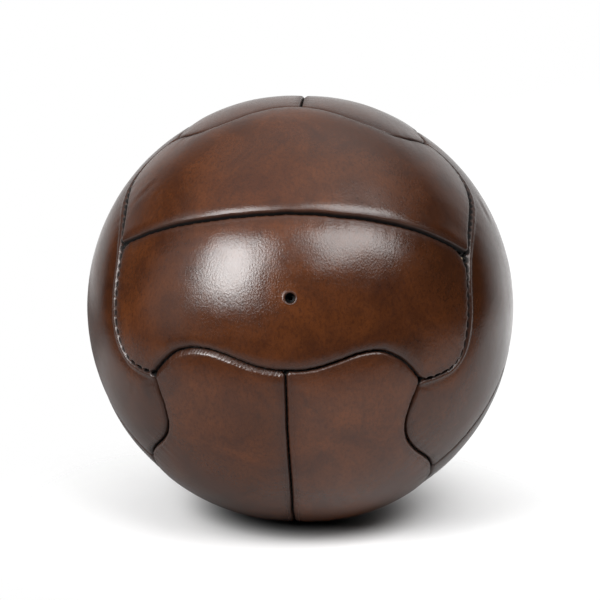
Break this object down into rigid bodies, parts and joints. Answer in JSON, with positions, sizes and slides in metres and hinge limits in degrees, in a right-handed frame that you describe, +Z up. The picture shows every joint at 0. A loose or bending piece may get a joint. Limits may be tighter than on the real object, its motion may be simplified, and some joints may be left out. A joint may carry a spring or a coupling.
{
  "type": "medicine ball",
  "caption": "Hand-sewn leather medicine ball with paired, curved panels on each face, turned-in lined seams, a packed filling, a heavy rubber bladder and a needle valve.",
  "frame": {"origin": "centre of the ball", "axes": "+Z up as the ball rests on its flat, -Y to the front, where the valve hole is, +X to the right seen from the front"},
  "size_m": [0.24, 0.24, 0.2385],
  "materials": {
    "panel_leather": "aged, burnished, semi-gloss dark brown",
    "lining_felt": "canvas and felt",
    "waxed_thread": "waxed linen",
    "packed_cotton": "matted cotton",
    "bladder_rubber": "satin",
    "valve_rubber": "satin",
    "washer_leather": "undyed flesh side"
  },
  "bodies": {
    "root": {"front_lower_panel": "panel_leather", "front_upper_panel": "panel_leather", "back_lower_panel": "panel_leather", "back_upper_panel": "panel_leather", "bottom_left_panel": "panel_leather", "bottom_right_panel": "panel_leather", "top_left_panel": "panel_leather", "top_right_panel": "panel_leather", "left_front_panel": "panel_leather", "left_rear_panel": "panel_leather", "right_front_panel": "panel_leather", "right_rear_panel": "panel_leather", "front_lower_lining": "lining_felt", "front_upper_lining": "lining_felt", "back_lower_lining": "lining_felt", "back_upper_lining": "lining_felt", "bottom_left_lining": "lining_felt", "bottom_right_lining": "lining_felt", "top_left_lining": "lining_felt", "top_right_lining": "lining_felt", "left_front_lining": "lining_felt", "left_rear_lining": "lining_felt", "right_front_lining": "lining_felt", "right_rear_lining": "lining_felt", "front_seam_thread": "waxed_thread", "back_seam_thread": "waxed_thread", "bottom_seam_thread": "waxed_thread", "top_seam_thread": "waxed_thread", "left_seam_thread": "waxed_thread", "right_seam_thread": "waxed_thread", "front_left_seam_thread": "waxed_thread", "front_right_seam_thread": "waxed_thread", "back_right_seam_thread": "waxed_thread", "back_left_seam_thread": "waxed_thread", "bottom_front_seam_thread": "waxed_thread", "bottom_back_seam_thread": "waxed_thread", "top_back_seam_thread": "waxed_thread", "top_front_seam_thread": "waxed_thread", "left_bottom_seam_thread": "waxed_thread", "left_top_seam_thread": "waxed_thread", "right_top_seam_thread": "waxed_thread", "right_bottom_seam_thread": "waxed_thread", "wadding": "packed_cotton", "bladder": "bladder_rubber", "valve_housing": "valve_rubber", "valve_insert": "valve_rubber", "valve_patch": "bladder_rubber", "valve_hole_washer": "washer_leather"}
  },
  "joints": []
}
